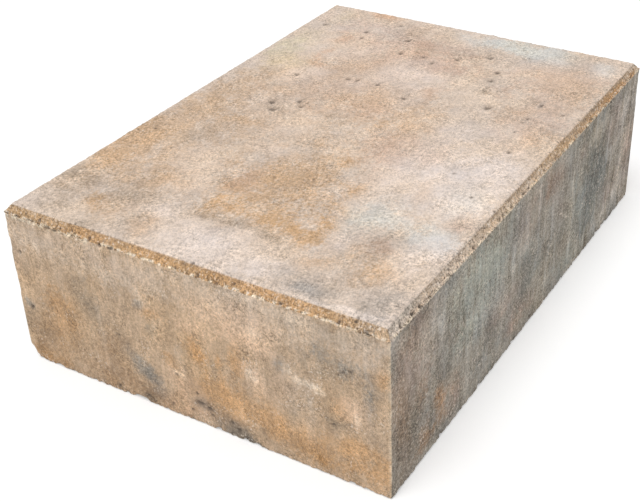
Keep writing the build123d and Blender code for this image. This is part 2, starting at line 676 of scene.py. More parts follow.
stains = {
    "tread": [
        ("treadTan", 185, 215, 100, 90, 0, 0.34), ("treadTan", 312, 212, 38, 78, 0, 0.45),
        ("treadTan", 125, 322, 75, 24, 0, 0.65), ("treadOchre", 130, 323, 36, 15, 0, 0.62),
        ("treadOchre", 160, 338, 14, 7, 0, 0.45), ("treadOchre", 112, 160, 48, 50, 0, 0.38),
        ("treadOchre", 79, 142, 9, 26, 0, 0.70), ("treadOchre", 82, 203, 12, 14, 0, 0.50),
        ("treadOrange", 124, 202, 16, 10, 0, 0.70), ("treadOchre", 141, 180, 15, 14, 0, 0.72),
        ("treadOchre", 88, 112, 26, 8, 0, 0.58), ("treadOchre", 148, 117, 12, 7, 0, 0.55),
        ("treadOchre", 183, 150, 13, 6, 0, 0.50), ("treadGrey", 65, 158, 6, 20, 0, 0.60),
        ("treadGrey", 62, 132, 5, 12, 0, 0.45), ("treadGrey", 66, 195, 5, 16, 0, 0.35),
        ("treadTan", 140, 172, 40, 24, 0, 0.45), ("treadGrey", 61, 270, 12, 20, 0, 0.62),
        ("treadGrey", 66, 315, 8, 12, 0, 0.45), ("treadGrey", 68, 338, 12, 7, 0, 0.50),
        ("treadOchre", 44, 286, 10, 14, 0, 0.45), ("treadGrey", 35, 322, 28, 22, 0, 0.28),
        ("treadGrey", 15, 270, 7, 14, 0, 0.35), ("treadOchre", 29, 228, 13, 10, 0, 0.55),
        ("treadGrey", 25, 238, 12, 8, 0, 0.35), ("treadPale", 28, 158, 22, 62, 0, 0.92),
        ("treadPale", 50, 225, 8, 28, 0, 0.45), ("treadGrey", 20, 68, 13, 20, 0, 0.52),
        ("treadBlue", 20, 74, 6, 9, 0, 0.60), ("treadGrey", 24, 20, 17, 14, 0, 0.50),
        # the narrow pale strip at 9 along and 38 across, next to the end bevel, is partly a painted
        # highlight on the tread's edge
        ("treadGrey", 28, 98, 14, 8, 0, 0.30), ("treadPale", 9, 38, 3.5, 24, 0, 0.85),
        ("treadTan", 66, 60, 34, 30, 0, 0.42), ("treadBrown", 90, 58, 13, 12, 0, 0.50),
        ("treadOchre", 60, 41, 14, 9, 0, 0.42), ("treadOchre", 52, 90, 14, 9, 0, 0.35),
        ("treadPale", 80, 86, 16, 9, 0, 0.60), ("treadPale", 92, 24, 34, 13, 0, 0.75),
        ("treadFrost", 119, 36, 15, 24, 0, 0.60), ("treadBrown", 143, 19, 11, 8, 0, 0.60),
        ("treadFrost", 124, 86, 22, 17, 0, 0.70), ("treadBlue", 131, 88, 8, 6, 0, 0.30),
        ("treadPale", 190, 50, 52, 38, 0, 0.85), ("treadPale", 225, 25, 42, 18, 0, 0.55),
        ("treadPale", 180, 95, 42, 18, 0, 0.45), ("treadOchre", 172, 66, 14, 6, 0, 0.35),
        ("treadPale", 265, 85, 45, 28, 0, 0.30), ("treadTan", 305, 28, 24, 18, 0, 0.55),
        ("treadGrey", 169, 287, 11, 9, 0, 0.45), ("treadPale", 218, 225, 22, 22, 0, 0.30),
        ("treadPale", 173, 216, 9, 20, 0, 0.45), ("treadPale", 103, 243, 20, 14, 0, 0.35),
        ("treadPale", 138, 262, 22, 14, 0, 0.30), ("treadPale", 244, 266, 20, 18, 0, 0.22),
        ("treadGrey", 252, 262, 15, 14, 0, 0.30), ("treadOchre", 212, 266, 7, 22, 0, 0.35),
        ("treadOrange", 281, 180, 16, 16, 0, 0.55), ("treadOchre", 300, 196, 16, 14, 0, 0.30),
        ("treadOchre", 265, 158, 14, 8, 0, 0.30), ("treadPale", 322, 275, 16, 20, 0, 0.62),
        ("treadOrange", 348, 276, 8, 16, 0, 0.50), ("treadOrange", 372, 286, 16, 6, 0, 0.30),
        ("treadOrange", 417, 286, 14, 8, 0, 0.45), ("treadOrange", 484, 275, 10, 14, 0, 0.70),
        ("treadPale", 395, 258, 18, 16, 0, 0.55), ("treadTan", 358, 243, 32, 22, 0, 0.60),
        ("treadPale", 365, 192, 30, 26, 0, 0.62), ("treadPale", 352, 160, 22, 14, 0, 0.40),
        ("treadPale", 316, 160, 10, 12, 0, 0.40), ("treadPale", 333, 222, 12, 12, 0, 0.30),
        ("treadBrown", 420, 190, 32, 60, 0, 0.36), ("treadBrown", 396, 155, 9, 26, 0, 0.38),
        ("treadBrown", 440, 208, 12, 9, 0, 0.42), ("treadBrown", 412, 196, 10, 9, 0, 0.35),
        ("treadGrey", 436, 160, 8, 16, 0, 0.30), ("treadGrey", 455, 235, 24, 18, 0, 0.25),
        ("treadFrost", 474, 120, 16, 55, 0, 0.85), ("treadFrost", 468, 80, 20, 20, 0, 0.85),
        ("treadFrost", 466, 24, 14, 12, 0, 0.50), ("treadTan", 425, 45, 42, 32, 0, 0.50),
        ("treadTan", 345, 62, 34, 14, 0, 0.40), ("treadTan", 380, 30, 34, 20, 0, 0.52),
        ("treadCream", 376, 322, 45, 15, 0, 0.62), ("treadCream", 337, 304, 16, 12, 0, 0.40),
        ("treadCream", 464, 315, 18, 10, 0, 0.35), ("treadTan", 240, 315, 66, 24, 0, 0.60),
        ("treadTan", 208, 272, 56, 22, 0, 0.50), ("treadOrange", 338, 143, 20, 6, 0, 0.45),
        ("treadTan", 280, 135, 36, 18, 0, 0.40), ("treadGrey", 369, 105, 9, 14, 0, 0.42),
        ("treadBlue", 362, 65, 8, 6, 0, 0.45), ("treadBlue", 366, 51, 11, 4, 0, 0.50),
        ("treadGrey", 457, 44, 10, 12, 0, 0.40), ("treadGrey", 328, 50, 10, 4, 0, 0.45),
        ("treadGrey", 258, 205, 8, 10, 0, 0.35), ("treadOrange", 385, 92, 24, 10, 0, 0.25),
        ("treadTan", 470, 215, 18, 24, 0, 0.20), ("treadTan", 40, 260, 20, 18, 0, 0.55),
        ("treadTan", 84, 272, 24, 26, 0, 0.72), ("treadOchre", 96, 258, 12, 14, 0, 0.35),
        ("treadTan", 126, 282, 22, 15, 0, 0.50), ("treadTan", 285, 262, 10, 18, 0, 0.45),
        ("treadTan", 190, 322, 34, 16, 0, 0.40), ("treadOrange", 226, 130, 24, 16, 0, 0.42),
        ("treadOrange", 228, 86, 16, 9, 0, 0.30), ("treadTan", 46, 42, 12, 16, 0, 0.40),
        ("treadFrost", 180, 32, 22, 14, 0, 0.45), ("treadTan", 330, 185, 16, 24, 0, 0.35),
        ("treadPink", 340, 40, 50, 26, 0, 0.50), ("treadPink", 400, 210, 70, 60, 0, 0.45),
        ("treadPink", 300, 230, 40, 60, 0, 0.40), ("treadPink", 430, 50, 46, 40, 0, 0.55),
        ("treadPink", 455, 290, 50, 50, 0, 0.30), ("treadPink", 225, 120, 40, 30, 0, 0.45),
        ("treadOrange", 372, 226, 16, 7, 0, 0.40),
    ],
    "end": [
        ("endPale", 105, 124, 125, 16, 0, 0.72), ("endPale", 262, 132, 90, 9, 0, 0.70),
        ("endGrey", 60, 30, 62, 26, 0, 0.42), ("endBrown", 26, 36, 14, 20, 0, 0.50),
        ("endOchre", 47, 60, 15, 26, 18, 0.60), ("endOchre", 40, 36, 9, 16, 0, 0.35),
        ("endRust", 26, 9, 20, 7, 0, 0.60), ("endBrown", 10, 18, 10, 16, 0, 0.50),
        ("endBlue", 12, 55, 5, 8, 30, 0.55), ("endPeach", 6, 94, 6, 12, 0, 0.35),
        ("endGrey", 72, 84, 13, 18, 0, 0.50), ("endGrey", 86, 70, 12, 12, 0, 0.42),
        ("endBrown", 96, 38, 16, 26, 0, 0.52), ("endBlue", 124, 37, 15, 7, -38, 0.90),
        ("endBlue", 141, 23, 7, 8, 0, 0.45), ("endBlue", 126, 98, 5, 5, 0, 0.60),
        ("endGrey", 137, 76, 7, 6, 0, 0.50), ("endOchre", 138, 94, 13, 6, 0, 0.42),
        ("endOchre", 181, 73, 9, 13, -12, 0.85), ("endOchre", 203, 71, 4, 7, 0, 0.75),
        ("endOchre", 221, 74, 7, 20, 0, 0.85), ("endOchre", 154, 54, 7, 7, 0, 0.60),
        ("endOchre", 208, 37, 20, 15, 0, 0.80), ("endOchre", 187, 46, 10, 10, 0, 0.35),
        ("endOchre", 268, 24, 38, 15, -12, 0.82), ("endOchre", 240, 40, 16, 14, 0, 0.35),
        ("endRust", 293, 12, 8, 7, 0, 0.72), ("endOchre", 318, 36, 16, 14, 0, 0.75),
        ("endOchre", 340, 26, 14, 18, 0, 0.72), ("endOchre", 342, 108, 8, 9, 0, 0.60),
        ("endPeach", 216, 116, 34, 9, 0, 0.85), ("endPeach", 228, 102, 22, 9, 0, 0.65),
        ("endPeach", 322, 70, 11, 11, 0, 0.85), ("endOchre", 308, 70, 9, 9, 0, 0.45),
        ("endPeach", 180, 94, 14, 7, 0, 0.45), ("endCream", 143, 83, 4, 3, 0, 0.85),
        ("endCream", 148, 90, 2.5, 3, 0, 0.60), ("endCream", 141, 105, 2.5, 2.5, 0, 0.50),
        ("endCream", 231, 70, 4, 3.5, 0, 0.80), ("endCream", 237, 66, 3.5, 2.5, 0, 0.60),
        ("endCream", 282, 80, 10, 4.5, 0, 0.85), ("endCream", 292, 76, 6, 3, 0, 0.50),
        ("endCream", 267, 88, 3, 4, 0, 0.50), ("endCream", 305, 42, 3, 2.5, 0, 0.60),
        ("endCream", 27, 116, 2.5, 2, 0, 0.60), ("endCream", 91, 116, 5, 2, 0, 0.35),
        ("endPink", 168, 36, 22, 12, -25, 0.62), ("endPink", 172, 14, 26, 9, 0, 0.55),
        ("endPink", 92, 128, 60, 8, 0, 0.30), ("endDark", 212, 8, 17, 10, 0, 0.98),
        ("endDark", 232, 4, 9, 4, 0, 0.70), ("endBlue", 183, 21, 11, 5, 0, 0.70),
        ("endGrey", 170, 60, 5, 16, 0, 0.30), ("endBlue", 262, 90, 6, 7, 0, 0.40),
        ("endBlue", 295, 112, 9, 7, 0, 0.50), ("endBlue", 316, 106, 9, 8, 0, 0.45),
        ("endGrey", 296, 100, 26, 11, 0, 0.34), ("endBlue", 334, 88, 6, 26, 0, 0.36),
        ("endGrey", 312, 53, 12, 5, 0, 0.70), ("endGrey", 276, 60, 14, 20, 0, 0.25),
        ("endPale", 262, 118, 18, 12, 0, 0.50), ("endCream", 270, 134, 8, 5, 0, 0.45),
        ("endGrey", 312, 134, 22, 8, 0, 0.35), ("endPeach", 228, 112, 22, 16, 0, 0.50),
        ("endPeach", 246, 66, 24, 18, 0, 0.36), ("endBrown", 116, 12, 56, 11, 0, 0.50),
        ("endDark", 128, 7, 6, 4, 0, 0.50), ("endDark", 97, 6, 4, 4, 0, 0.50),
        ("endPale", 88, 62, 3, 24, 0, 0.50), ("endPale", 165, 62, 3, 20, 0, 0.50),
        ("endPale", 282, 50, 3, 18, 0, 0.50), ("endGrey", 268, 45, 4, 24, 0, 0.45),
        ("endGrey", 300, 40, 5, 22, 0, 0.35), ("endCream", 203, 118, 8, 2.5, 0, 0.60),
        ("endCream", 236, 111, 7, 3.5, 0, 0.60), ("endCream", 160, 43, 5, 2.5, -25, 0.70),
        ("endCream", 324, 64, 3, 3, 0, 0.60), ("endOchre", 292, 32, 22, 16, 0, 0.30),
        ("endOchre", 190, 26, 26, 12, 0, 0.30), ("endPale", 326, 124, 20, 10, 0, 0.50),
        ("endOchre", 58, 72, 16, 14, 0, 0.35), ("endOchre", 72, 28, 36, 18, 0, 0.22),
        ("endGrey", 232, 50, 4, 22, 0, 0.35), ("endGrey", 250, 56, 3, 26, 0, 0.35),
        ("endGrey", 196, 56, 4, 20, 0, 0.35),
    ],
    "riser": [
        ("riserPink", 28, 100, 36, 40, 0, 0.72), ("riserBrown", 14, 48, 12, 46, 0, 0.70),
        ("riserBrown", 46, 22, 28, 18, 0, 0.42), ("riserOrange", 76, 42, 8, 17, 0, 0.82),
        ("riserOrange", 48, 66, 11, 9, 0, 0.50), ("riserOrange", 14, 66, 6, 16, 0, 0.55),
        ("riserOrange", 48, 18, 12, 9, 0, 0.45), ("riserOrange", 10, 92, 7, 22, 0, 0.35),
        ("riserDark", 32, 44, 4, 20, 0, 0.50), ("riserCream", 50, 93, 9, 4, 0, 0.55),
        ("riserCream", 79, 109, 8, 6, 0, 0.50), ("riserCream", 62, 112, 10, 7, 0, 0.30),
        ("riserGreen", 145, 112, 52, 26, 0, 0.90), ("riserGreen", 150, 74, 48, 16, 0, 0.75),
        ("riserCream", 157, 70, 42, 4, 14, 0.50), ("riserCream", 190, 84, 8, 3, 12, 0.60),
        ("riserCream", 240, 90, 10, 4, 0, 0.55), ("riserCream", 262, 76, 14, 3, 0, 0.35),
        ("riserGreen", 215, 75, 26, 14, 0, 0.40), ("riserDark", 234, 58, 22, 20, 0, 0.72),
        ("riserDark", 265, 62, 18, 20, 0, 0.45), ("riserDark", 165, 34, 30, 18, 0, 0.30),
        ("riserDark", 95, 62, 10, 14, 0, 0.30), ("riserDark", 388, 66, 36, 36, 0, 0.85),
        ("riserDark", 376, 40, 22, 18, 0, 0.50), ("riserDark", 410, 68, 12, 24, 0, 0.42),
        ("riserDark", 400, 98, 16, 12, 0, 0.45), ("riserDark", 410, 91, 6, 3, 0, 0.60),
        ("riserDark", 342, 62, 5, 40, 0, 0.50), ("riserCream", 335, 76, 3, 46, 0, 0.70),
        ("riserCream", 205, 90, 3, 34, 0, 0.60), ("riserCream", 231, 104, 3, 20, 12, 0.60),
        ("riserCream", 255, 80, 2.5, 48, 0, 0.55), ("riserCream", 284, 66, 3, 22, -8, 0.75),
        ("riserCream", 297, 74, 2, 34, 0, 0.35), ("riserCream", 371, 104, 2.5, 26, 0, 0.35),
        ("riserCream", 423, 72, 2.5, 34, 0, 0.40), ("riserCream", 468, 90, 7, 50, 0, 0.72),
        ("riserCream", 488, 112, 5, 24, 0, 0.60), ("riserCream", 429, 85, 16, 2, 0, 0.62),
        ("riserCream", 120, 46, 2, 30, 0, 0.30), ("riserCream", 140, 24, 26, 5, 0, 0.25),
        ("riserPink", 288, 122, 22, 14, 0, 0.52), ("riserPink", 318, 38, 18, 12, 0, 0.35),
        ("riserPink", 436, 42, 22, 18, 0, 0.45), ("riserPink", 440, 112, 22, 26, 0, 0.42),
        ("riserPink", 352, 118, 20, 10, 0, 0.30), ("riserPink", 185, 52, 22, 8, 0, 0.35),
        ("riserPink", 484, 60, 12, 30, 0, 0.42), ("riserCream", 404, 15, 50, 6, 0, 0.60),
        ("riserDark", 350, 8, 60, 5, 0, 0.42), ("riserDark", 120, 6, 80, 5, 0, 0.42),
        ("riserDark", 445, 4, 40, 4, 0, 0.35), ("riserDark", 400, 136, 70, 5, 0, 0.35),
        ("riserDark", 120, 137, 80, 4, 0, 0.25), ("riserGreen", 330, 60, 30, 40, 0, 0.25),
        ("riserCream", 70, 106, 22, 12, 0, 0.42), ("riserPink", 226, 116, 24, 18, 0, 0.60),
        ("riserBrown", 282, 118, 24, 14, 0, 0.30), ("riserDark", 320, 116, 22, 18, 0, 0.32),
        ("riserDark", 370, 112, 18, 24, 0, 0.45), ("riserCream", 458, 110, 22, 28, 0, 0.38),
        ("riserDark", 26, 72, 22, 34, 0, 0.42), ("riserCream", 178, 72, 24, 14, 0, 0.45),
        ("riserPink", 98, 30, 14, 20, 0, 0.55), ("riserPink", 226, 24, 26, 12, 0, 0.55),
        ("riserCream", 272, 24, 24, 9, 0, 0.35), ("riserCream", 464, 30, 24, 20, 0, 0.60),
        ("riserDark", 14, 20, 14, 16, 0, 0.45), ("riserDark", 150, 92, 24, 7, 0, 0.32),
        ("riserPink", 310, 84, 18, 20, 0, 0.30), ("riserDark", 218, 118, 22, 18, 0, 0.48),
        ("riserDark", 6, 80, 8, 64, 0, 0.45), ("riserGreen", 340, 28, 46, 16, 0, 0.30),
        ("riserDark", 312, 26, 26, 18, 0, 0.38), ("riserDark", 312, 72, 22, 22, 0, 0.35),
        ("riserPink", 478, 70, 18, 60, 0, 0.35), ("riserDark", 244, 52, 14, 20, 0, 0.30),
        ("riserPink", 196, 64, 34, 18, 0, 0.45), ("riserCream", 66, 118, 24, 14, 0, 0.35),
    ],
    "farEnd": [
        ("endPale", 180, 124, 150, 16, 0, 0.60), ("endOchre", 90, 40, 30, 22, 15, 0.50),
        ("endGrey", 250, 60, 26, 30, 0, 0.45), ("endOchre", 300, 22, 26, 12, 0, 0.45),
        ("endBlue", 150, 96, 14, 8, 0, 0.45), ("endPeach", 60, 104, 22, 8, 0, 0.45),
        ("endBrown", 200, 10, 60, 9, 0, 0.40), ("endOchre", 205, 70, 10, 16, 0, 0.45),
        ("endGrey", 25, 70, 12, 30, 0, 0.35), ("endDark", 130, 6, 14, 6, 0, 0.60),
    ],
    "back": [
        ("riserGreen", 120, 90, 60, 34, 0, 0.60), ("riserPink", 330, 80, 60, 40, 0, 0.50),
        ("riserDark", 230, 50, 34, 34, 0, 0.55), ("riserOrange", 420, 46, 14, 20, 0, 0.60),
        ("riserCream", 180, 80, 3, 46, 0, 0.40), ("riserCream", 290, 70, 3, 50, 0, 0.40),
        ("riserCream", 395, 90, 3, 36, 0, 0.40), ("riserBrown", 60, 30, 36, 24, 0, 0.50),
        ("riserDark", 450, 100, 26, 26, 0, 0.40), ("riserPink", 30, 110, 26, 24, 0, 0.45),
        ("riserDark", 250, 5, 240, 5, 0, 0.40),
    ],
    "endBevel": [
        ("bevelOchre", 150, 0, 270, 60, 0, 0.92), ("bevelBrown", 160, 6.0, 190, 1.6, 0, 0.60),
        ("bevelOrange", 238, 0, 50, 60, 0, 0.60), ("bevelOrange", 92, 0, 26, 60, 0, 0.40),
        ("bevelOrange", 150, 0, 16, 60, 0, 0.35), ("bevelBrown", 320, 0, 14, 60, 0, 0.40),
        ("bevelBrown", 60, 0, 12, 60, 0, 0.25), ("bevelPeach", 342, 0, 10, 60, 0, 0.45),
    ],
    "riserBevel": [
        ("bevelGrey", 26, 5.0, 18, 2.4, 0, 0.55), ("bevelBrown", 55, 5.2, 18, 2.4, 0, 0.50),
        ("bevelBrown", 190, 5.4, 150, 2.6, 0, 0.85), ("bevelOchre", 300, 0, 50, 60, 0, 0.50),
        ("bevelPeach", 170, 0.6, 130, 2.4, 0, 0.60), ("bevelBrown", 350, 0, 20, 60, 0, 0.40),
        ("bevelOchre", 412, 0, 70, 3.4, 0, 0.85), ("bevelOrange", 420, 0, 60, 2.6, 0, 0.70),
        ("bevelBeige", 120, 0, 26, 60, 0, 0.50), ("bevelBrown", 410, 5.2, 100, 2.8, 0, 0.98),
    ],
}

# Each face's ground tint, how much coarser than the tread its grain is, and how strongly the mould
# has drawn the grain out into upright streaks
faces = {
    "tread": {"ground": "treadGround", "grit": 0.0, "streak": 0.0},
    "end": {"ground": "endGround", "grit": -0.12, "streak": 0.5},
    "riser": {"ground": "riserGround", "grit": 0.35, "streak": 1.0},
    "farEnd": {"ground": "endGround", "grit": -0.12, "streak": 0.5},
    "back": {"ground": "riserGround", "grit": 0.35, "streak": 1.0},
    "endBevel": {"ground": "bevelBeige", "grit": 0.55, "streak": 0.0},
    "riserBevel": {"ground": "bevelBeige", "grit": 0.8, "streak": 0.0},
    "under": {"ground": "under", "grit": 0.0, "streak": 0.0},
}
bevels = ("endBevel", "riserBevel")
ends = ("end", "farEnd")
risers = ("riser", "back")

# where one face's colours give way to the next one's, in metres
borders = {
    "endRoundCorner": 0.0012,
    "underLevel": 0.0006,
    "underInset": 0.0008,
    "treadOnBevel": 0.0006,
    "wallOnRim": 0.0002,
}


def zoneOf(point):
    # the face a point belongs to, and its place on that face in millimetres
    gap = sideGap(point)
    onEnd = halfLength - abs(point.x) < halfDepth - abs(point.y) + borders["endRoundCorner"]
    alongEnd = (halfDepth - point.y) * 1000
    alongLength = (point.x + halfLength) * 1000
    if point.z < borders["underLevel"] and gap > borders["underInset"]:
        return "under", alongLength, alongEnd
    if gap > treadInset - borders["treadOnBevel"]:
        return "tread", alongLength, (point.y + halfDepth) * 1000
    if point.z > wallTop + borders["wallOnRim"]:
        zone = "endBevel" if onEnd else "riserBevel"
        return zone, alongEnd if onEnd else alongLength, (point.z - shoulder) * 1000
    if onEnd:
        return ("end" if point.x < 0 else "farEnd"), alongEnd, point.z * 1000
    return ("riser" if point.y < 0 else "back"), alongLength, point.z * 1000


# How a stain fades out
stainEdge = {
    "reach": 2.2,                           # in half sizes
    "fade": 0.8,
    "sharpness": 1.2,
    "least": 0.001,                         # less cover than this counts as bare ground
}


def stainAt(zone, along, up):
    # mean tint of the stains that reach this spot, and how much of the ground they cover
    total = 0.0
    bare = 1.0
    mixed = Vector((0, 0, 0))
    for tint, centreAlong, centreUp, halfAlong, halfUp, tilt, strength in stains.get(zone, ()):
        across = along - centreAlong
        rise = up - centreUp
        reach = stainEdge["reach"] * max(halfAlong, halfUp)
        if abs(across) > reach or abs(rise) > reach:
            continue
        turn = math.radians(tilt)
        first = (across * math.cos(turn) + rise * math.sin(turn)) / halfAlong
        second = (rise * math.cos(turn) - across * math.sin(turn)) / halfUp
        away = (first * first + second * second) ** stainEdge["sharpness"]
        weight = strength * math.exp(-stainEdge["fade"] * away)
        total += weight
        bare *= 1 - weight
        mixed += Vector(tints[tint]) * weight
    if total < stainEdge["least"]:
        return Vector(tints[faces[zone]["ground"]]), 0.0
    return mixed / total, 1 - bare


# Where the mesh is smoothed before it is carved, in metres
smoothing = {
    "edgePasses": 2,                        # pressed edge round the tread
    "edgeDepth": 0.0016,
    "edgeWidth": 0.0012,
    "seamPasses": 3,                        # foot of the bevel
    "seamBelow": 0.0005,
    "seamHalfHeight": 0.0022,
    "seamWidth": 0.0030,
    "seamNoise": (22, -0.12),               # where it stays open: scale and level
    "sharpCorner": 0.005,
}


def onPressedEdge(point):
    # the softened arris between the bevel and the tread
    onEdge = abs(sideGap(point) - treadInset) < smoothing["edgeWidth"]
    return onEdge and point.z > height - smoothing["edgeDepth"]


def onFusedSeam(point):
    # over much of its length the foot of the bevel has run together with the rim
    rise = abs(point.z - shoulder + smoothing["seamBelow"])
    if rise >= smoothing["seamHalfHeight"] or sideGap(point) >= smoothing["seamWidth"]:
        return False
    scale, level = smoothing["seamNoise"]
    return noise.noise(point * scale) > level and cornerGap(point) > smoothing["sharpCorner"]


def smoothWhere(bm, isThere, passes):
    # evens out the vertices that lie in a place, over and over
    for _ in range(passes):
        bmesh.ops.smooth_vert(
            bm, verts=[vert for vert in bm.verts if isThere(vert.co)], factor=0.5,
            use_axis_x=True, use_axis_y=True, use_axis_z=True,
        )


# How the faces are finished besides their stains: lengths in metres, the wander's reach and the
# places along and up a face in millimetres, and pairs with a level and the swing of a noise
finish = {
    "wander": ((32, 8), (95, 4), (210, 2)), # noise scales, each with its reach
    "sideWander": 0.7,                      # share of it on the side faces and bevels
    "bevelWanderUp": 0.15,                  # share of it up the narrow bevels
    "stainGrit": 1.8,                       # grit from the contrast of a stain
    "mostStainGrit": 0.5,
    "rimAbove": 0.0006,                     # the pale rim ends this far above the shoulder
    "rimFade": 0.0010,
    "rimPale": (0.34, 2.2),
    "rimPaleScale": 240,
    "rimGrit": 0.8,
    "crumbDrop": 0.0032,                    # pale crumbs reach this far below the wall's top
    "crumbFade": 0.0020,
    "crumbPale": (0.3, 2.2),
    "crumbPaleScale": 260,
    "moreCrumbsAtCorner": 0.4,              # near the upright arrises, within the next reach
    "cornerReach": 0.05,
    "crumbGrit": 0.6,
    "wearAndHighlightWidth": 0.0024,                    # pale strip along the upright arrises: partly wear, partly a painted highlight
    "wearAndHighlightPale": (0.7, 1.0),
    "wearAndHighlightScale": 120,
    "wearAndHighlightOnEnds": 0.8,
    "wearAndHighlightOnRisers": 0.2,
    "footGrit": 0.8,
    "footGritHeight": 7,                    # millimetres up to which the foot is coarser
    "moreStreaks": 0.6,
    "moreStreaksFrom": 320,                 # millimetres along the riser and the back
    "moreStreaksFade": 60,
}


def wanderAt(point):
    # how far the outlines of the stains wander here
    wander = Vector((0, 0, 0))
    for scale, reach in finish["wander"]:
        wander += noise.noise_vector(point * scale) * reach
    return wander


def rimBand(point):
    # 1 at the foot of the bevel, 0 higher up
    return ease((shoulder + finish["rimAbove"] - point.z) / finish["rimFade"])


def crumbsAt(point):
    # share of pale crumbs under the seam, towards the back
    level, swing = finish["crumbPale"]
    level += finish["moreCrumbsAtCorner"] * ease(1 - cornerGap(point) / finish["cornerReach"])
    crumbs = ease((point.z - wallTop + finish["crumbDrop"]) / finish["crumbFade"]) * behind(point)
    return crumbs * ease(level + swing * noise.noise(point * finish["crumbPaleScale"]))


def wearAndHighlightAt(point, zone):
    # share of pale concrete on the upright arrises: partly wear, partly a painted highlight that lifts
    # their shaded sides
    level, swing = finish["wearAndHighlightPale"]
    wearAndHighlight = ease(1 - cornerGap(point) / finish["wearAndHighlightWidth"])
    wearAndHighlight *= ease(level + swing * noise.noise(point * finish["wearAndHighlightScale"]))
    return wearAndHighlight * (finish["wearAndHighlightOnEnds"] if zone in ends else finish["wearAndHighlightOnRisers"])


def paleAt(point, zone):
    # share of cream-coloured concrete over the ground and the stains, with a painted highlight along the
    # upright arrises
    if zone in bevels:
        level, swing = finish["rimPale"]
        return rimBand(point) * ease(level + swing * noise.noise(point * finish["rimPaleScale"]))
    if zone in ends or zone in risers:
        return 1 - (1 - crumbsAt(point)) * (1 - wearAndHighlightAt(point, zone))
    return 0.0


def gritAt(point, zone, up, contrast):
    # how much coarser the grain is here than the tread's, by the face and by the stain's contrast
    grit = faces[zone]["grit"]
    if zone in bevels:
        return grit + finish["rimGrit"] * rimBand(point)
    stained = finish["stainGrit"] * contrast
    if zone != "tread":
        stained = abs(stained)  # only the pale cement skin on the tread is smoother than the ground
    grit += max(-finish["mostStainGrit"], min(finish["mostStainGrit"], stained))
    if zone in ends or zone in risers:
        grit += finish["footGrit"] * ease(1 - up / finish["footGritHeight"])
        grit += finish["crumbGrit"] * crumbsAt(point)
    return grit


def streakAt(zone, along):
    # how strongly the grain is drawn out into upright streaks
    streak = faces[zone]["streak"]
    if zone in risers:
        farther = (along - finish["moreStreaksFrom"]) / finish["moreStreaksFade"]
        streak += finish["moreStreaks"] * ease(farther)
    return streak


def dress(bm):
    # carves every vertex, and gives it the colours and marks that the material reads, among them the
    # shade and dirt painted into its hollows
    ground = bm.verts.layers.float_color.new("ground")
    stain = bm.verts.layers.float_color.new("stain")
    marks = bm.verts.layers.float_color.new("marks")
    cream = Vector(tints["rimCream"])
    spots = [zoneOf(vert.co) for vert in bm.verts]
    smoothWhere(bm, onPressedEdge, smoothing["edgePasses"])
    smoothWhere(bm, onFusedSeam, smoothing["seamPasses"])
    bm.normal_update()
    moves = []
    for vert, (zone, along, up) in zip(bm.verts, spots):
        point = vert.co.copy()
        wander = wanderAt(point)
        size = 1.0 if zone == "tread" else finish["sideWander"]
        sizeUp = finish["bevelWanderUp"] if zone in bevels else size
        tint, cover = stainAt(zone, along + wander.x * size, up + wander.y * sizeUp)
        base = Vector(tints[faces[zone]["ground"]])
        moved, shadeAndDirtInHollows = carve(point, vert.normal, zone, along, up)
        moves.append(moved)
        grit = gritAt(point, zone, up, cover * (base.y - tint.y))
        pale = paleAt(point, zone)
        vert[ground] = (*base.lerp(cream, pale), 1)
        vert[stain] = (*tint.lerp(cream, pale), cover)
        # the first mark says how much shade and dirt the material paints into the hollows
        vert[marks] = (shadeAndDirtInHollows, grit, streakAt(zone, along), 1)
    for vert, moved in zip(bm.verts, moves):
        vert.co = moved


dress(bm)
print("relief and stains laid,", round(time.time() - started, 1), "s")

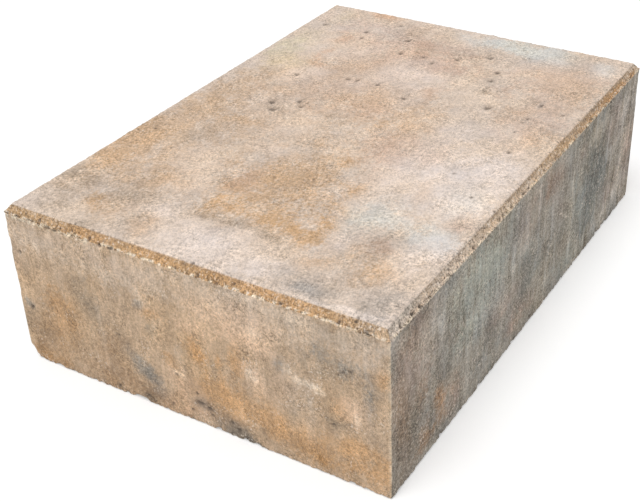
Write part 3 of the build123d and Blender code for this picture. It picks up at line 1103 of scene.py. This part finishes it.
# The concrete. A noise pattern is scale, detail and roughness, and a range is where on a noise
# something starts to show and where it shows in full.
concrete = {
    "roughness": 0.92,
    "specular": 0.25,
    "grain": (430.0, 3.0, 0.65),            # sand grains
    "fine": (1000.0, 2.0, 0.6),             # the finest grains
    "cloud": (36.0, 8.0, 0.68),             # light and dark clouds
    "mottle": (22.0, 8.0, 0.62),            # warm and cool clouds
    "streak": (120.0, 5.0, 0.68),           # upright streaks, before they are drawn out
    "streakStretch": (1.0, 1.0, 0.20),
    "streakShift": (0.4, 0.2, 0.1),
    "line": (150.0, 3.0, 0.6),              # thin pale lines among the streaks
    "lineStretch": (1.0, 1.0, 0.05),
    "lineRange": (0.58, 0.70),
    "breakup": (300.0, 4.0, 0.7),           # ragged edges of the stains
    "patch": (60.0, 6.0, 0.65),             # larger gaps in them
    "breakupContrast": 1.5,
    "patchContrast": 1.8,
    "coverRange": (0.0, 0.85),              # how a stain covers the ground
    "coverStart": (0.0, 0.25),
    "mottleContrast": 0.55,
    "fineWarmth": 0.4,
    "streakWarmth": 0.40,
    "warmRed": 0.35,                        # how far warmth lifts red and lowers blue
    "warmBlue": 0.6,
    "coarse": (44.0, 3.0, 0.5),             # patches with coarser grain
    "coarseRange": (0.30, 0.80),
    "coarseLeast": 0.75,
    "grainContrast": 1.35,
    "fineContrast": 1.00,
    "cloudContrast": 0.75,
    "cloudInStreaks": 1.3,
    "streakContrast": 1.45,
    "lineContrast": 0.30,
    "darkestTone": 0.25,
    "nest": (46.8, 4.0, 0.6),               # nests of cream grains
    "nestRange": (0.52, 0.66),
    "nestShare": 0.5,
    "creamGrain": (500.0, 2.0, 0.5),
    "creamRange": (0.56, 0.66),
    "creamShare": 0.12,
    "creamInGrit": 0.4,
    "creamColour": (0.87, 0.755, 0.645, 1),
    "darkGrain": (500.0, 1.0, 0.5),
    "darkRange": (0.38, 0.28),              # dark grains sit in the lows of their noise
    "darkShare": 0.14,
    "darkInGrit": 0.45,
    "darkColour": (0.16, 0.11, 0.07, 1),
    # shade, with some dirt, painted into pits, voids, pocks and chips
    "shadeAndDirtCover": 0.86,
    "shadeAndDirtColour": (0.13, 0.105, 0.085, 1),
    "bumpDistance": 0.0007,
    "bumpStrength": 0.7,
    "fineBump": 0.5,                        # share of the finest grains in the bump
}


def concreteMaterial():
    # reads the colours and marks that dress gave the vertices, and adds what is finer than the mesh
    material = bpy.data.materials.new("weatheredConcrete")
    material.use_nodes = True
    nodes, links = material.node_tree.nodes, material.node_tree.links
    surface = nodes["Principled BSDF"]
    surface.inputs["Roughness"].default_value = concrete["roughness"]
    surface.inputs["Specular IOR Level"].default_value = concrete["specular"]

    def attribute(name):
        node = nodes.new("ShaderNodeAttribute")
        node.attribute_name = name
        return node

    def plug(value, socket):
        if isinstance(value, (int, float)):
            socket.default_value = value
        else:
            links.new(value, socket)

    def reckon(operation, first, second):
        node = nodes.new("ShaderNodeMath")
        node.operation = operation
        plug(first, node.inputs[0])
        plug(second, node.inputs[1])
        return node.outputs[0]

    def ramp(value, low, high):
        node = nodes.new("ShaderNodeMapRange")
        node.interpolation_type = "SMOOTHSTEP"
        plug(value, node.inputs["Value"])
        plug(low, node.inputs["From Min"])
        plug(high, node.inputs["From Max"])
        return node.outputs["Result"]

    def blend(kind, factor, first, second):
        node = nodes.new("ShaderNodeMix")
        node.data_type = "RGBA"
        node.blend_type = kind
        plug(factor, node.inputs["Factor"])
        for value, socket in ((first, node.inputs["A"]), (second, node.inputs["B"])):
            if isinstance(value, tuple):
                socket.default_value = value
            else:
                links.new(value, socket)
        return node.outputs["Result"]

    place = nodes.new("ShaderNodeTexCoord").outputs["Object"]

    def speckle(pattern, where=place):
        scale, detail, coarseness = concrete[pattern]
        node = nodes.new("ShaderNodeTexNoise")
        node.inputs["Scale"].default_value = scale
        node.inputs["Detail"].default_value = detail
        node.inputs["Roughness"].default_value = coarseness
        links.new(where, node.inputs["Vector"])
        return node.outputs["Fac"]

    def drawnOut(stretch, shift=(0.0, 0.0, 0.0)):
        # the place, squeezed along the height so that a noise on it is drawn out upwards
        node = nodes.new("ShaderNodeMapping")
        node.inputs["Scale"].default_value = stretch
        node.inputs["Location"].default_value = shift
        links.new(place, node.inputs["Vector"])
        return node.outputs["Vector"]

    def around(value, contrast):
        # swings about 0, by as much as the contrast says
        return reckon("MULTIPLY", reckon("SUBTRACT", value, 0.5), contrast)

    grain = speckle("grain")
    fine = speckle("fine")
    streaks = speckle("streak", drawnOut(concrete["streakStretch"], concrete["streakShift"]))
    thinLines = ramp(speckle("line", drawnOut(concrete["lineStretch"])), *concrete["lineRange"])

    ground = attribute("ground")
    stain = attribute("stain")
    marks = nodes.new("ShaderNodeSeparateColor")
    links.new(attribute("marks").outputs["Color"], marks.inputs["Color"])
    shadeAndDirtInHollows, grit, streak = marks.outputs["Red"], marks.outputs["Green"], marks.outputs["Blue"]

    # the stains break up into grains and clouds at their edges
    breakup = around(speckle("breakup"), concrete["breakupContrast"])
    breakup = reckon("ADD", breakup, around(speckle("patch"), concrete["patchContrast"]))
    breakup = reckon("ADD", breakup, reckon("MULTIPLY", around(streaks, 1.0), streak))
    cover = ramp(reckon("ADD", stain.outputs["Alpha"], breakup), *concrete["coverRange"])
    cover = reckon("MULTIPLY", cover, ramp(stain.outputs["Alpha"], *concrete["coverStart"]))
    colour = blend("MIX", cover, ground.outputs["Color"], stain.outputs["Color"])

    # warmer and cooler clouds
    warmth = around(speckle("mottle"), concrete["mottleContrast"])
    fineWarmth = around(fine, concrete["mottleContrast"] * concrete["fineWarmth"])
    streakWarmth = reckon("MULTIPLY", around(streaks, concrete["streakWarmth"]), streak)
    warmth = reckon("SUBTRACT", reckon("ADD", warmth, fineWarmth), streakWarmth)
    red = reckon("ADD", 1.0, reckon("MULTIPLY", warmth, concrete["warmRed"]))
    blue = reckon("SUBTRACT", 1.0, reckon("MULTIPLY", warmth, concrete["warmBlue"]))
    warm = nodes.new("ShaderNodeCombineColor")
    links.new(red, warm.inputs["Red"])
    warm.inputs["Green"].default_value = 1.0
    links.new(blue, warm.inputs["Blue"])
    colour = blend("MULTIPLY", 1.0, colour, warm.outputs["Color"])

    # light and shade from grain to grain, coarser in some patches than in others
    coarse = reckon("ADD", concrete["coarseLeast"], ramp(speckle("coarse"), *concrete["coarseRange"]))
    grainSwing = around(grain, concrete["grainContrast"])
    grainSwing = reckon("ADD", grainSwing, around(fine, concrete["fineContrast"]))
    grainSwing = reckon("MULTIPLY", grainSwing, reckon("ADD", coarse, grit))
    streakSwing = around(streaks, concrete["streakContrast"])
    streakSwing = reckon("ADD", streakSwing, reckon("MULTIPLY", thinLines, concrete["lineContrast"]))
    streakSwing = reckon("MULTIPLY", streakSwing, streak)
    cloudShare = reckon("ADD", 1.0, reckon("MULTIPLY", streak, concrete["cloudInStreaks"]))
    cloudSwing = reckon("MULTIPLY", around(speckle("cloud"), concrete["cloudContrast"]), cloudShare)
    tone = reckon("ADD", reckon("ADD", grainSwing, cloudSwing), streakSwing)
    tone = reckon("MAXIMUM", reckon("ADD", tone, 1.0), concrete["darkestTone"])
    toneColour = nodes.new("ShaderNodeCombineColor")
    for channel in ("Red", "Green", "Blue"):
        links.new(tone, toneColour.inputs[channel])
    colour = blend("MULTIPLY", 1.0, colour, toneColour.outputs["Color"])

    # cream and dark grains, gathered in nests and thicker in the gritty bevel
    nests = reckon("MULTIPLY", ramp(speckle("nest"), *concrete["nestRange"]), concrete["nestShare"])
    creamShare = reckon("ADD", concrete["creamShare"], nests)
    creamShare = reckon("ADD", creamShare, reckon("MULTIPLY", grit, concrete["creamInGrit"]))
    creamGrain = ramp(speckle("creamGrain"), *concrete["creamRange"])
    creamGrain = reckon("MULTIPLY", creamGrain, reckon("MAXIMUM", creamShare, 0.0))
    colour = blend("MIX", creamGrain, colour, concrete["creamColour"])
    darkShare = reckon("MULTIPLY", grit, concrete["darkInGrit"])
    darkShare = reckon("MAXIMUM", reckon("ADD", concrete["darkShare"], darkShare), 0.0)
    darkGrain = reckon("MULTIPLY", ramp(speckle("darkGrain"), *concrete["darkRange"]), darkShare)
    colour = blend("MIX", darkGrain, colour, concrete["darkColour"])

    # painted shade, with some dirt, darkening pits, voids, pocks and chips
    shadeAndDirt = reckon("MULTIPLY", shadeAndDirtInHollows, concrete["shadeAndDirtCover"])
    colour = blend("MIX", shadeAndDirt, colour, concrete["shadeAndDirtColour"])
    links.new(colour, surface.inputs["Base Color"])

    bump = nodes.new("ShaderNodeBump")
    bump.inputs["Distance"].default_value = concrete["bumpDistance"]
    bump.inputs["Strength"].default_value = concrete["bumpStrength"]
    reliefHeight = reckon("ADD", grain, reckon("MULTIPLY", fine, concrete["fineBump"]))
    reliefHeight = reckon("ADD", reliefHeight, reckon("MULTIPLY", streaks, streak))
    links.new(reliefHeight, bump.inputs["Height"])
    links.new(bump.outputs["Normal"], surface.inputs["Normal"])
    return material


mesh = bpy.data.meshes.new("pressedBlock")
bm.to_mesh(mesh)
bm.free()
mesh.shade_smooth()
mesh.materials.append(concreteMaterial())
block = bpy.data.objects.new("pressedBlock", mesh)
scene.collection.objects.link(block)
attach(block, "root")
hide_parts("block_step")
